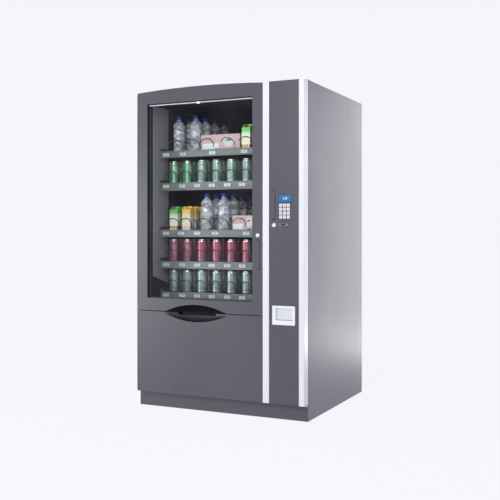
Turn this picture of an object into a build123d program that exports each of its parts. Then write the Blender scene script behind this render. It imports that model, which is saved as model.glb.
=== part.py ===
from build123d import *
import os

# Free-standing glass-front vending machine. Millimetres, +Z up, the front looks along -Y.
# The origin is on the floor, under the middle of the whole machine.

# ---- driving dimensions ----
WIDTH = 1060.0
CABINET_HEIGHT = 1830.0
CABINET_DEPTH = 920.0
DOOR_THICKNESS = 58.0            # door front to cabinet front face
STRIP_PROUD = 4.0                # bright strips stand this far in front of the doors
SHEET = 2.0                      # cabinet sheet steel
DOOR_SHEET = 2.5                 # door sheet steel
SKIRT_GAP = 5.0                  # floor to the lowest edge of the sides and the kick plate
DOOR_GAP = 5.0                   # cabinet face to the back of the doors

CAB_FRONT = -(CABINET_DEPTH - DOOR_THICKNESS - STRIP_PROUD) / 2
CAB_BACK = CAB_FRONT + CABINET_DEPTH
FRONT = CAB_FRONT - DOOR_THICKNESS
STRIP_FRONT = FRONT - STRIP_PROUD
DOOR_BACK = CAB_FRONT - DOOR_GAP
SIDE = WIDTH / 2

# doors: the glass door on the left, the payment column on the right
DOOR_LEFT = -SIDE + 2
DOOR_RIGHT = 285.0
DOOR_BOTTOM = 95.0
DOOR_TOP_LEFT = 1822.0
DOOR_TOP_MIDDLE = 1838.5
DOOR_TOP_RIGHT = 1826.0
CROWN_X = -130.0                 # highest point of the door's curved top edge
DOOR_CORNER = 28.0
LINER_SHEET = 3.0
COLUMN_TOP = 1828.0
CENTRE_STRIP = (289.0, 327.0)
COLUMN_PANEL = (328.0, 499.5)
CORNER_STRIP = (500.0, SIDE)

# window and glass
WINDOW = (-447.0, 226.0, 638.0, 1757.0)
GLASS_MARGIN = 8.0
GLASS_THICKNESS = 8.0
GLASS_SETBACK = 9.0

# delivery flap: the whole lower front, tilting out from its bottom edge
FLAP_TOP = 562.0
FRAME_SEAM = 566.0
FLAP_DEPTH = 32.0
FLAP_PIVOT = (FRONT + 17.0, 108.0)
FLAP_LUGS = (-400.0, 150.0)
PIN_R = 4.0
RUNNING = 0.05
PULL_X = -128.0
PULL_Z = 559.0
PULL_WIDTH = 421.0
PULL_HEIGHT = 97.0
PULL_DEPTH = 27.0

# hinges of the two doors
HINGE_Y = CAB_FRONT - 14.0
MAIN_HINGE_X = DOOR_LEFT + 7.0
COLUMN_HINGE_X = SIDE - 7.0

# cold compartment
COLD = (-483.0, 238.0, 302.0, 1788.0)
COLD_DEPTH = 700.0
BAY = (292.0, 505.0, 110.0, 1790.0)

# trays and their lanes
TRAY_LEFT = -462.0
TRAY_RIGHT = 232.0
RAIL_FRONT = CAB_FRONT + 110.0
TRAY_BACK = CAB_FRONT + 640.0
RAIL_BANDS = ((1459.0, 1498.0), (1263.0, 1310.0), (988.0, 1031.0), (802.0, 845.0), (626.0, 664.0))
RAIL_THICK = 3.5
DECK_DROP = 9.0                  # tray deck below the top of its price rail
CAN_LANES = (-400.0, -308.0, -209.0, -109.0, -12.0, 86.0)
TOP_LANES = (-381.0, -266.0, -162.0, -27.0, 88.0)
MIXED_LANES = (-394.0, -308.0, -191.0, -77.0, 48.0)
LANES = (TOP_LANES, CAN_LANES, MIXED_LANES, CAN_LANES, CAN_LANES)
BOTTLE_LANES = (-381.0, -266.0, -191.0, -77.0)
EMPTY_LANE = 184.0               # the lane at the right of every tray, whose spiral turns
CAN_PITCH = 68.0
BOTTLE_PITCH = 119.0
COIL_LENGTH = 476.0              # seven turns round cans, four round bottles
COIL_START = RAIL_FRONT + 12.0
COIL_R = 36.0
COIL_TIP = -75.0                 # the front tip of the wire, in degrees round from the top
WIRE_R = 2.5
COIL_LIFT = COIL_R + WIRE_R + 2.0

# air duct cover on the left wall, whose lower edge slopes
DUCT_FRONT_LOW = 757.0
DUCT_BACK_LOW = 705.0
DUCT_TOP = 1765.0

# column fittings
DISPLAY = (379.0, 460.0, 1175.0, 1218.0)
KEY_COLUMNS = (395.0, 417.0, 439.0)
KEY_ROWS = (1161.0, 1140.0, 1119.0, 1098.0)
KEY_NAMES = ("1", "2", "3", "4", "5", "6", "7", "8", "9", "clear", "0", "enter")
KEY_SIZE = (17.6, 17.0)
COIN_PLATE = (384.0, 437.0, 1050.5, 1063.5)
COIN_SLOT = (395.0, 423.0, 1054.3, 1059.7)
RETURN_BUTTON = (426.0, 434.0, 1053.0, 1061.0)
CUP_FRAME = (346.0, 478.0, 521.0, 623.0)
CUP_MOUTH = (367.0, 463.0, 546.0, 609.0)
LOCK_R = 11.0
COLUMN_LOCK = (356.0, 1055.0)
DOOR_LOCK = (259.0, 1000.0)
HANDLE_WIDTH = 22.0
HANDLE_THICK = 10.0
DOOR_HANDLE = (259.0, 815.0, 975.0)
COLUMN_HANDLE = (350.0, 1083.0, 1243.0)

# machinery under the cold compartment
FAN_X = -120.0
FAN_Z = 190.0
FAN_Y = CAB_FRONT + 150.0
FAN_R = 80.0


def block(x0, x1, y0, y1, z0, z1):
    """A box between two corners."""
    return Pos((x0 + x1) / 2, (y0 + y1) / 2, (z0 + z1) / 2) * Box(x1 - x0, y1 - y0, z1 - z0)


def rod_x(x0, x1, y, z, radius):
    return Pos((x0 + x1) / 2, y, z) * Rot(0, 90, 0) * Cylinder(radius, x1 - x0)


def rod_y(x, y0, y1, z, radius):
    return Pos(x, (y0 + y1) / 2, z) * Rot(90, 0, 0) * Cylinder(radius, y1 - y0)


def rod_z(x, y, z0, z1, radius):
    return Pos(x, y, (z0 + z1) / 2) * Cylinder(radius, z1 - z0)


def save(name, *solids):
    shape = solids[0] if len(solids) == 1 else Compound(children=list(solids))
    export_step(shape, f"parts/{name}.step")


# ---- cabinet ----

def outer_shell():
    """Sides, top and front face in one wrap of sheet, open at the back and below."""
    shell = block(-SIDE, SIDE, CAB_FRONT, CAB_BACK, SKIRT_GAP, CABINET_HEIGHT)
    shell -= block(-SIDE + SHEET, SIDE - SHEET, CAB_FRONT + SHEET, CAB_BACK + 1,
                   SKIRT_GAP - 1, CABINET_HEIGHT - SHEET)
    shell -= block(COLD[0], COLD[1], CAB_FRONT - 1, CAB_FRONT + SHEET + 1, COLD[2], COLD[3])
    shell -= block(BAY[0], BAY[1], CAB_FRONT - 1, CAB_FRONT + SHEET + 1, BAY[2], BAY[3])
    vent_pitch = 24.0
    for column in range(16):
        for row in range(2):
            x = COLD[0] + 40 + column * 42.0
            z = 150 + row * vent_pitch * 3
            shell -= block(x, x + 30, CAB_FRONT - 1, CAB_FRONT + SHEET + 1, z, z + 10)
    return shell


def inner_liner():
    """Box that holds the cold, open at the front."""
    back = CAB_FRONT + COLD_DEPTH
    liner = block(COLD[0] - SHEET, COLD[1] + SHEET, CAB_FRONT + SHEET, back, COLD[2] - SHEET, COLD[3] + SHEET)
    return liner - block(COLD[0], COLD[1], CAB_FRONT, back - SHEET, COLD[2], COLD[3])


INLET = (440.0, 150.0)
INLET_SIZE = (50.0, 32.0)
SOCKET_SIZE = (25.0, 17.0, 16.0)


def back_panel():
    """Removable rear sheet with outlet slots and the hole for the power inlet."""
    inset = SHEET + 1
    panel = block(-SIDE + inset, SIDE - inset, CAB_BACK - 4, CAB_BACK - 2, 12, CABINET_HEIGHT - inset)
    for column in range(12):
        for row in range(7):
            x = -460 + column * 62.0
            z = 110 + row * 22.0
            panel -= block(x, x + 46, CAB_BACK - 5, CAB_BACK, z, z + 9)
    hole = block(INLET[0] - 18, INLET[0] + 18, CAB_BACK - 5, CAB_BACK, INLET[1] - 14, INLET[1] + 14)
    return panel - hole


def power_inlet():
    """Flanged appliance inlet: a socket with three flat contacts, let into the rear sheet."""
    x, z = INLET
    half_w, half_h = INLET_SIZE[0] / 2, INLET_SIZE[1] / 2
    body = block(x - half_w, x + half_w, CAB_BACK - 2, CAB_BACK, z - half_h, z + half_h)
    body += block(x - 16, x + 16, CAB_BACK - 24, CAB_BACK - 2, z - 12, z + 12)
    body -= block(x - SOCKET_SIZE[0] / 2, x + SOCKET_SIZE[0] / 2, CAB_BACK - SOCKET_SIZE[2], CAB_BACK + 1,
                  z - SOCKET_SIZE[1] / 2, z + SOCKET_SIZE[1] / 2)
    for offset, drop in ((-7.0, -2.0), (0.0, 3.0), (7.0, -2.0)):
        body += block(x + offset - 1, x + offset + 1, CAB_BACK - SOCKET_SIZE[2] - 1, CAB_BACK - 8,
                      z + drop - 2, z + drop + 2)
    return body


BASE_RAIL = 34.0
BASE_BOTTOM = 45.0
BASE_TOP = 85.0
FOOT_X = SIDE - SHEET - 30.0
FOOT_FRONT = CAB_FRONT + 40.0
FOOT_BACK = CAB_BACK - 45.0


def base_frame():
    """Welded rectangle of steel section with posts that carry the cold box."""
    frame = None
    for x in (-FOOT_X, FOOT_X):
        side = block(x - BASE_RAIL / 2, x + BASE_RAIL / 2, CAB_FRONT + 4, CAB_BACK - 6, BASE_BOTTOM, BASE_TOP)
        frame = side if frame is None else frame + side
    for y in (CAB_FRONT + 4, CAB_BACK - 6 - BASE_RAIL):
        frame += block(-FOOT_X, FOOT_X, y, y + BASE_RAIL, BASE_BOTTOM, BASE_TOP)
    frame += block(-FOOT_X, FOOT_X, CAB_FRONT + 45, CAB_BACK - 200, BASE_TOP - 3, BASE_TOP)
    for x in (COLD[0] + 10, COLD[1] - 10):
        for y in (CAB_FRONT + 21, CAB_FRONT + COLD_DEPTH - 30):
            frame += block(x - 10, x + 10, y - 10, y + 10, BASE_TOP - 3, COLD[2] - SHEET - 0.5)
        frame += block(x - 10, x + 10, CAB_FRONT + 21, CAB_FRONT + COLD_DEPTH - 30, BASE_TOP - 3, BASE_TOP)
    for x in (-FOOT_X, FOOT_X):
        for y in (FOOT_FRONT, FOOT_BACK):
            frame -= rod_z(x, y, BASE_BOTTOM - 1, BASE_TOP - 8, 6.5)
    return frame


def levelling_feet():
    """Four screw feet: disc, threaded stem and lock nut."""
    feet = []
    for x in (-FOOT_X, FOOT_X):
        for y in (FOOT_FRONT, FOOT_BACK):
            foot = rod_z(x, y, 0, 9, 25)
            foot += rod_z(x, y, 8, BASE_TOP - 14, 6)
            foot += Pos(x, y, 33) * extrude(RegularPolygon(10, 6), 8)
            feet.append(foot)
    return feet


def kick_plate():
    """Folded plinth under the doors."""
    y0, y1 = CAB_FRONT - 5, CAB_FRONT - 0.5
    plate = block(-SIDE + 2, SIDE, y0, y1, SKIRT_GAP, 86)
    return plate - block(-SIDE + 4, SIDE - SHEET, y0 + SHEET, y1 + 1, SKIRT_GAP + SHEET, 86 - SHEET)


def duct_panel():
    """Cold-air duct cover down the left wall, its lower edge sloping to the back."""
    front, back = CAB_FRONT + 52, CAB_FRONT + 225
    side = Polyline((front, DUCT_FRONT_LOW), (back, DUCT_BACK_LOW), (back, DUCT_TOP), (front, DUCT_TOP), close=True)
    sheet = extrude(Plane.YZ * make_face(side), 3)
    return Pos(COLD[0] + 4, 0, 0) * sheet


def deck_height(level):
    return RAIL_BANDS[level][1] - DECK_DROP


def tray(level):
    """Folded tray: deck, sides, motor wall, lane fins and the two runners it slides on."""
    top = deck_height(level)
    y0 = RAIL_FRONT + RAIL_THICK + 0.5
    body = block(TRAY_LEFT, TRAY_RIGHT, y0, TRAY_BACK, top - SHEET, top)
    body += block(TRAY_LEFT, TRAY_RIGHT, TRAY_BACK - SHEET, TRAY_BACK, top - SHEET, top + 90)
    for x in (TRAY_LEFT, TRAY_RIGHT - SHEET):
        body += block(x, x + SHEET, y0, TRAY_BACK, top - SHEET, top + 28)
    lanes = LANES[level] + (EMPTY_LANE,)
    for left, right in zip(lanes, lanes[1:]):
        middle = (left + right) / 2
        body += block(middle - 0.8, middle + 0.8, y0, TRAY_BACK, top - SHEET, top + 14)
    runner = (top + 6, top + 20)
    body += block(COLD[0] + 9, TRAY_LEFT + SHEET, y0 + 10, TRAY_BACK - 10, *runner)
    body += block(TRAY_RIGHT - SHEET, COLD[1] - 0.5, y0 + 10, TRAY_BACK - 10, *runner)
    return body


def price_rails():
    """Clear label rails along the front of the trays."""
    rails = []
    for bottom, top in RAIL_BANDS:
        rail = block(TRAY_LEFT, TRAY_RIGHT, RAIL_FRONT, RAIL_FRONT + RAIL_THICK, bottom, top)
        groove = block(TRAY_LEFT - 1, TRAY_RIGHT + 1, RAIL_FRONT - 1, RAIL_FRONT + 1.2, bottom + 4, top - 4)
        rails.append(rail - groove)
    return rails


def coil(x, level, hub):
    """Wire spiral along a lane; with a hub it is the turning kind, on its drive clip."""
    pitch = BOTTLE_PITCH if x in BOTTLE_LANES else CAN_PITCH
    path = Helix(pitch, COIL_LENGTH, COIL_R, direction=(0, 1, 0))
    wire = sweep(Plane(origin=path @ 0, z_dir=path % 0) * Circle(WIRE_R), path=path, is_frenet=True)
    if hub:
        wire += Pos(0, COIL_LENGTH + WIRE_R, COIL_R / 2) * Box(8, 5, COIL_R + 2)
        wire += rod_y(0, COIL_LENGTH, TRAY_BACK - SHEET - 1 - COIL_START, 0, 10)
    return Pos(x, COIL_START, deck_height(level) + COIL_LIFT) * Rot(0, COIL_TIP, 0) * wire


def lane_spirals():
    return [coil(x, level, False) for level in range(5) for x in LANES[level]]


def spiral_motors():
    """A gearmotor behind every lane."""
    motors = []
    for level in range(5):
        z = deck_height(level) + COIL_LIFT
        for x in LANES[level] + (EMPTY_LANE,):
            motor = block(x - 24, x + 24, TRAY_BACK + 0.5, TRAY_BACK + 36, z - 30, z + 30)
            motor += rod_y(x, TRAY_BACK + 30, TRAY_BACK + 52, z + 8, 14)
            motors.append(motor)
    return motors


def compressor():
    """Welded pot compressor on its base plate."""
    x, y = 60.0, CAB_FRONT + 620
    pot = rod_z(x, y, 105, 250, 75)
    pot = fillet(pot.edges().filter_by(GeomType.CIRCLE), 24)
    plate = block(x - 95, x + 95, y - 70, y + 70, BASE_TOP + 4, 92)
    feet = [rod_z(x + dx, y + dy, BASE_TOP + 0.3, 108, 11) for dx in (-60, 60) for dy in (-45, 45)]
    for foot in feet:
        plate += foot
    return pot + plate


def finned_block(x0, x1, y0, y1, z0, z1, fins, tubes):
    """Heat exchanger: upright fins threaded by straight tubes between two end plates."""
    body = block(x0, x0 + 3, y0, y1, z0, z1) + block(x1 - 3, x1, y0, y1, z0, z1)
    step = (x1 - x0 - 6) / (fins + 1)
    for index in range(1, fins + 1):
        x = x0 + 3 + index * step
        body += block(x - 0.6, x + 0.6, y0 + 1, y1 - 1, z0 + 2, z1 - 2)
    for index in range(tubes):
        z = z0 + (index + 0.5) * (z1 - z0) / tubes
        body += rod_x(x0 - 6, x1 + 6, (y0 + y1) / 2, z, 5)
    return body


def condenser():
    """Condenser with the fan's shroud behind it."""
    y0 = CAB_FRONT + 50
    body = finned_block(FAN_X - 110, FAN_X + 110, y0, y0 + 50, 95, 285, 20, 4)
    shroud = block(FAN_X - 100, FAN_X + 100, y0 + 51, FAN_Y + 22, 96, 284)
    shroud -= rod_y(FAN_X, y0 + 50, FAN_Y + 23, FAN_Z, FAN_R + 6)
    arm = block(FAN_X - 90, FAN_X + 90, FAN_Y + 15, FAN_Y + 21, FAN_Z - 6, FAN_Z + 6)
    motor = rod_y(FAN_X, FAN_Y + 14, FAN_Y + 45, FAN_Z, 26)
    return [body, shroud + arm + motor]


def condenser_fan():
    """Five pitched blades on a hub."""
    fan = rod_y(FAN_X, FAN_Y - 12, FAN_Y + 13, FAN_Z, 24)
    for index in range(5):
        blade = Pos(0, 0, 48) * Rot(0, 0, 28) * Box(34, 2, 60)
        fan += Pos(FAN_X, FAN_Y, FAN_Z) * Rot(0, index * 72.0, 0) * blade
    return fan


def evaporator():
    """Cold coil on the floor of the cold box, behind the delivery space."""
    y0 = CAB_FRONT + 420
    return finned_block(COLD[0] + 60, COLD[1] - 120, y0, y0 + 120, COLD[2] + 4, COLD[2] + 150, 28, 3)


def coin_mechanism():
    """Coin validator and tubes in one case, with the coin inlet at its top."""
    y0 = CAB_FRONT + 45
    case = block(345, 482, y0, y0 + 85, 640, 1020)
    case -= block(395, 423, y0 + 12, y0 + 60, 1000, 1021)
    case -= block(352, 475, y0 - 1, y0 + 3, 660, 790)
    return fillet(case.edges().filter_by(Axis.X).group_by(Axis.Z)[-1][0], 4)


def cash_box():
    """Open-topped drawer that coins fall into."""
    y0 = CAB_FRONT + 45
    box = block(350, 478, y0, y0 + 180, 330, 430)
    return box - block(353, 475, y0 + 3, y0 + 177, 333, 431)


def door_hinges():
    """Four pintle brackets: a plate fixed to the cabinet and a pin up or down into a door."""
    brackets = []
    for x in (MAIN_HINGE_X, COLUMN_HINGE_X):
        lower = block(x - 7, x + 7, HINGE_Y - 7, CAB_FRONT, 88, 92)
        lower += rod_z(x, HINGE_Y, 90, 112, PIN_R)
        upper = block(x - 7, x + 7, HINGE_Y - 7, CAB_FRONT + 45, CABINET_HEIGHT, CABINET_HEIGHT + 3)
        upper += rod_z(x, HINGE_Y, 1806, CABINET_HEIGHT + 1, PIN_R)
        brackets += [lower, upper]
    return brackets


# ---- glass door ----

def door_outline(inset):
    """Front view of the door: straight sides and foot, one arc along the top."""
    left, right = DOOR_LEFT + inset, DOOR_RIGHT - inset
    foot = DOOR_BOTTOM + inset
    crown = ThreePointArc((left, DOOR_TOP_LEFT - inset), (CROWN_X, DOOR_TOP_MIDDLE - inset),
                          (right, DOOR_TOP_RIGHT - inset))
    edges = [crown, Line(crown @ 1, (right, foot)), Line((right, foot), (left, foot))]
    edges.append(Line((left, foot), crown @ 0))
    return make_face(edges)


def door_slab(inset, y0, y1):
    slab = extrude(Plane.XZ * door_outline(inset), -(y1 - y0))
    return Pos(0, y0, 0) * slab


def pull_spindle(extra):
    """Eye-shaped hollow: an arc spun about its chord, flattened front to back."""
    half_w, half_h = PULL_WIDTH / 2 + extra, PULL_HEIGHT / 2 + extra
    depth = PULL_DEPTH + extra
    arc = ThreePointArc((-half_w, 0), (0, half_h), (half_w, 0))
    spun = revolve(make_face([arc, Line(arc @ 1, arc @ 0)]), Axis.X, 360)
    return Pos(PULL_X, FRONT, PULL_Z) * scale(spun, by=(1, depth / half_h, 1))


def door_frame():
    """Steel door: front skin, edges, window reveal, lower back frame, half of the pull recess."""
    back = DOOR_BACK - LINER_SHEET
    lower_front = FRONT + FLAP_DEPTH + 6
    slab = door_slab(0, FRONT, back)
    slab = fillet(slab.edges().filter_by(Axis.Z).sort_by(Axis.X)[:2].sort_by(Axis.Y)[0], DOOR_CORNER)
    frame = slab - door_slab(DOOR_SHEET, FRONT + DOOR_SHEET, back + 1)
    frame -= block(DOOR_LEFT - 1, DOOR_RIGHT + 1, FRONT - 1, lower_front, DOOR_BOTTOM - 1, FRAME_SEAM)
    x0, x1, z0, z1 = WINDOW
    m = GLASS_MARGIN + 1
    wall = block(x0 - m - DOOR_SHEET, x1 + m + DOOR_SHEET, FRONT + DOOR_SHEET, back,
                 z0 - m - DOOR_SHEET, z1 + m + DOOR_SHEET)
    frame += wall - block(x0 - m, x1 + m, FRONT, back + 1, z0 - m, z1 + m)
    lip = block(x0 - DOOR_SHEET, x1 + DOOR_SHEET, FRONT, FRONT + GLASS_SETBACK,
                z0 - DOOR_SHEET, z1 + DOOR_SHEET)
    frame += lip
    frame -= block(x0, x1, FRONT - 1, FRONT + GLASS_SETBACK + 1, z0, z1)
    # sheet across the lower half with the delivery opening, and the shelf at the seam
    frame += block(DOOR_LEFT + 1, DOOR_RIGHT - 1, lower_front, lower_front + DOOR_SHEET, DOOR_BOTTOM, FRAME_SEAM)
    frame += block(DOOR_LEFT + 1, DOOR_RIGHT - 1, FRONT + DOOR_SHEET, back, FRAME_SEAM, FRAME_SEAM + DOOR_SHEET)
    recess = pull_spindle(DOOR_SHEET)
    recess &= block(PULL_X - PULL_WIDTH, PULL_X + PULL_WIDTH, FRONT, back, FRAME_SEAM, FRAME_SEAM + PULL_HEIGHT)
    frame += recess
    frame -= pull_spindle(0)
    frame -= block(BIN[0], BIN[1], lower_front - 1, back + 1, BIN[4], BIN[5])
    # lugs for the flap's pins
    y, z = FLAP_PIVOT
    for x in FLAP_LUGS:
        frame += block(x - 5, x + 5, y, lower_front + 1, z - 6, z + 6) + rod_x(x - 5, x + 5, y, z, 7)
        frame -= rod_x(x - 6, x + 6, y, z, PIN_R + RUNNING)
    # bores for the hinge pins, the lock and the handle's dish
    frame -= rod_z(MAIN_HINGE_X, HINGE_Y, DOOR_BOTTOM - 1, 114, PIN_R + RUNNING)
    frame -= rod_z(MAIN_HINGE_X, HINGE_Y, 1804, 1830, PIN_R + RUNNING)
    frame -= rod_y(DOOR_LOCK[0], FRONT - 1, FRONT + DOOR_SHEET + 1, DOOR_LOCK[1], LOCK_R - 2 + RUNNING)
    return cut_dish(frame, DOOR_HANDLE)


def dish_size(handle):
    x, z0, z1 = handle
    gap = 1.2
    return x - HANDLE_WIDTH / 2 - gap, x + HANDLE_WIDTH / 2 + gap, z0 - gap, z1 + gap


def cut_dish(panel, handle):
    """Shallow pressed dish that a swing handle lies in."""
    x0, x1, z0, z1 = dish_size(handle)
    floor = FRONT + HANDLE_THICK + 1
    panel += block(x0 - 2, x1 + 2, FRONT, floor + 2, z0 - 2, z1 + 2)
    return panel - block(x0, x1, FRONT - 1, floor, z0, z1)


BIN = (-400.0, 170.0, DOOR_BACK + 0.3, CAB_FRONT + 160.0, 345.0, 545.0)


def door_liner():
    """Back sheet of the door with the view opening and the delivery opening."""
    y0 = DOOR_BACK - LINER_SHEET
    sheet = door_slab(0.5, y0, DOOR_BACK)
    x0, x1, z0, z1 = WINDOW
    m = GLASS_MARGIN
    sheet -= block(x0 - m, x1 + m, y0 - 1, DOOR_BACK + 1, z0 - m, z1 + m)
    return sheet - block(BIN[0], BIN[1], y0 - 1, DOOR_BACK + 1, BIN[4], BIN[5])


def door_glass():
    x0, x1, z0, z1 = WINDOW
    m = GLASS_MARGIN
    y0 = FRONT + GLASS_SETBACK + 0.3
    pane = block(x0 - m, x1 + m, y0, y0 + GLASS_THICKNESS, z0 - m, z1 + m)
    return chamfer(pane.edges(), 0.8)


GASKET = (-510.0, 262.0, 282.0, 1806.0)


def door_gasket():
    """Magnetic door seal: a ring on the back of the door, just off the cabinet face."""
    x0, x1, z0, z1 = GASKET
    ring = block(x0, x1, DOOR_BACK, CAB_FRONT - 0.4, z0, z1)
    return ring - block(x0 + 16, x1 - 16, DOOR_BACK - 1, CAB_FRONT, z0 + 14, z1 - 14)


def light_tube():
    """Lamp across the top of the window, in two end holders."""
    x0, x1, z1 = WINDOW[0], WINDOW[1], WINDOW[3]
    y = FRONT + GLASS_SETBACK + GLASS_THICKNESS + 12
    tube = rod_x(x0 - 4, x1 + 4, y, z1 - 8, 5)
    for x in (x0 - 7, x1 - 3):
        tube += block(x, x + 10, y - 7, y + 7, z1 - 15, z1 - 1)
    return tube


def delivery_bin():
    """Trough behind the flap that catches what falls, open above and in front."""
    x0, x1, y0, y1, z0, z1 = BIN
    tub = block(x0 - 3, x1 + 3, y0, y1, z0 - 3, z1)
    return tub - block(x0, x1, y0 - 1, y1 - 3, z0, z1 + 1)


def delivery_flap():
    """Pressed pan over the whole lower front, with the lower half of the pull scooped into it."""
    y1 = FRONT + FLAP_DEPTH
    foot = DOOR_BOTTOM + 1
    pan = block(DOOR_LEFT, DOOR_RIGHT, FRONT, y1, foot, FLAP_TOP)
    pan = fillet(pan.edges().filter_by(Axis.Z).sort_by(Axis.X)[:2].sort_by(Axis.Y)[0], DOOR_CORNER)
    s = DOOR_SHEET
    pan -= block(DOOR_LEFT + DOOR_CORNER * 0.35, DOOR_RIGHT - s, FRONT + s, y1 + 1, foot + s, FLAP_TOP - s)
    y, z = FLAP_PIVOT
    for x in FLAP_LUGS:
        pan -= block(x - 8, x + 8, y + 1, y1 + 1, foot - 1, foot + s + 1)
        for cheek in (x - 20, x + 8):
            pan += block(cheek, cheek + 12, FRONT + s, y + 8, foot, z + 8)
        pan += rod_x(x - 14, x + 14, y, z, PIN_R)
    scoop = pull_spindle(s) & block(PULL_X - 300, PULL_X + 300, FRONT, y1, FLAP_TOP - 90, FLAP_TOP)
    pan += scoop
    pan -= pull_spindle(0)
    return pan - block(PULL_X - 120, PULL_X + 120, FRONT + 8, y1 + 1, FLAP_TOP - 14, FLAP_TOP + 1)


def lock_barrel(x, z, cam_up):
    """Cylinder lock: proud keyed face, body through the skin and a cam behind it."""
    barrel = rod_y(x, FRONT - 2.5, FRONT, z, LOCK_R)
    barrel = fillet(barrel.edges().sort_by(Axis.Y)[0], 1.0)
    barrel += rod_y(x, FRONT - 0.5, FRONT + 22, z, LOCK_R - 2)
    barrel -= block(x - 1, x + 1, FRONT - 3, FRONT + 3, z - 4, z + 4)
    tip = 18.0 * cam_up
    low, high = min(z, z + tip), max(z, z + tip)
    return barrel + block(x - 6, x + 6, FRONT + 20, FRONT + 23, low, high)


def swing_handle(handle, pivot_low):
    """Flat bar lying in its dish, rounded about the pivot at one end."""
    x, z0, z1 = handle
    y0 = FRONT - 2.0
    y1 = y0 + HANDLE_THICK
    r = HANDLE_THICK / 2
    half = HANDLE_WIDTH / 2
    pivot = z0 + r if pivot_low else z1 - r
    low, high = (pivot, z1) if pivot_low else (z0, pivot)
    bar = block(x - half, x + half, y0, y1, low, high)
    far = bar.edges().filter_by(Axis.X).sort_by(Axis.Z)
    far = far[-2:] if pivot_low else far[:2]
    bar = fillet(far, 3)
    return bar + rod_x(x - half, x + half, y0 + r, pivot, r)


# ---- payment column ----

def channel(x0, x1, y0):
    """Folded strip: front, two sides and end caps, open at the back."""
    body = block(x0, x1, y0, DOOR_BACK, DOOR_BOTTOM + 2, COLUMN_TOP)
    body = fillet(body.edges().filter_by(Axis.Z).group_by(Axis.Y)[0], 2.5)
    return body - block(x0 + SHEET, x1 - SHEET, y0 + SHEET, DOOR_BACK + 1, DOOR_BOTTOM + 5, COLUMN_TOP - 3)


def corner_strip():
    strip = channel(*CORNER_STRIP, STRIP_FRONT)
    strip -= rod_z(COLUMN_HINGE_X, HINGE_Y, DOOR_BOTTOM, 114, PIN_R + RUNNING)
    return strip - rod_z(COLUMN_HINGE_X, HINGE_Y, 1804, 1830, PIN_R + RUNNING)


def window_of(size, y0, y1, gap):
    x0, x1, z0, z1 = size
    return block(x0 - gap, x1 + gap, y0, y1, z0 - gap, z1 + gap)


KEYPAD = (KEY_COLUMNS[0] - 14, KEY_COLUMNS[-1] + 14, KEY_ROWS[-1] - 13, KEY_ROWS[0] + 13)


def column_panel():
    """Painted pan that carries the display, keys, coin slot and cup."""
    x0, x1 = COLUMN_PANEL
    pan = block(x0, x1, FRONT, DOOR_BACK, DOOR_BOTTOM + 2, COLUMN_TOP)
    pan -= block(x0 + SHEET, x1 - SHEET, FRONT + DOOR_SHEET, DOOR_BACK + 1, DOOR_BOTTOM + 5, COLUMN_TOP - 3)
    y0, y1 = FRONT - 1, FRONT + DOOR_SHEET + 1
    for size in (DISPLAY, KEYPAD, COIN_PLATE):
        pan -= window_of(size, y0, y1, 0.3)
    pan -= window_of(CUP_MOUTH, y0, y1, 3.3)
    pan -= rod_y(COLUMN_LOCK[0], y0, y1, COLUMN_LOCK[1], LOCK_R - 2 + RUNNING)
    return cut_dish(pan, COLUMN_HANDLE)


def display():
    """Display module: bezel with a sunken screen."""
    module = window_of(DISPLAY, FRONT - 1.5, FRONT + 10, 0)
    module = fillet(module.edges().filter_by(Axis.Y), 1.5)
    return module - window_of(DISPLAY, FRONT - 2, FRONT - 0.5, -3)


def key_box(x, z, grow, y0, y1):
    w, h = KEY_SIZE
    return block(x - w / 2 - grow, x + w / 2 + grow, y0, y1, z - h / 2 - grow, z + h / 2 + grow)


def keypad_frame():
    """Keypad housing with a well for each key."""
    frame = window_of(KEYPAD, FRONT - 1, FRONT + 12, 0)
    for x in KEY_COLUMNS:
        for z in KEY_ROWS:
            frame -= key_box(x, z, 0.4, FRONT - 2, FRONT + 8.5)
    return frame


def key(x, z):
    cap = key_box(x, z, 0, FRONT - 3, FRONT + 6)
    return fillet(cap.edges().group_by(Axis.Y)[0], 1.2)


def coin_plate():
    """Bright escutcheon with the coin slot and the return button's well."""
    plate = window_of(COIN_PLATE, FRONT - 2, FRONT + 12, 0)
    plate -= window_of(COIN_SLOT, FRONT - 3, FRONT + 13, 0)
    return plate - window_of(RETURN_BUTTON, FRONT - 3, FRONT + 13, 0.3)


def coin_return_button():
    cap = window_of(RETURN_BUTTON, FRONT - 3.5, FRONT + 10, 0)
    return fillet(cap.edges().group_by(Axis.Y)[0], 0.8)


CUP_BACK = DOOR_BACK - 4.0


def coin_cup():
    """Moulded cup: broad frame on the panel and a square pocket behind it."""
    frame = window_of(CUP_FRAME, STRIP_FRONT + 0.5, FRONT - 0.2, 0)
    frame = fillet(frame.edges().filter_by(Axis.Y), 4)
    frame += window_of(CUP_MOUTH, FRONT - 1, CUP_BACK, 2.5)
    return frame - window_of(CUP_MOUTH, STRIP_FRONT - 1, CUP_BACK - 2.5, 0)


FLAP_CLEAR = 0.6
CUP_PIVOT = (FRONT + 4.0, CUP_MOUTH[3] - 4.0)


def coin_flap():
    """Light flap hung from its top edge inside the cup's mouth."""
    x0, x1, z0, z1 = CUP_MOUTH
    y, z = CUP_PIVOT
    leaf = block(x0 + FLAP_CLEAR, x1 - FLAP_CLEAR, y - 1.5, y + 1.5, z0 + 2, z)
    return leaf + rod_x(x0 + FLAP_CLEAR, x1 - FLAP_CLEAR, y, z, 2.5)


os.makedirs("parts", exist_ok=True)

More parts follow.
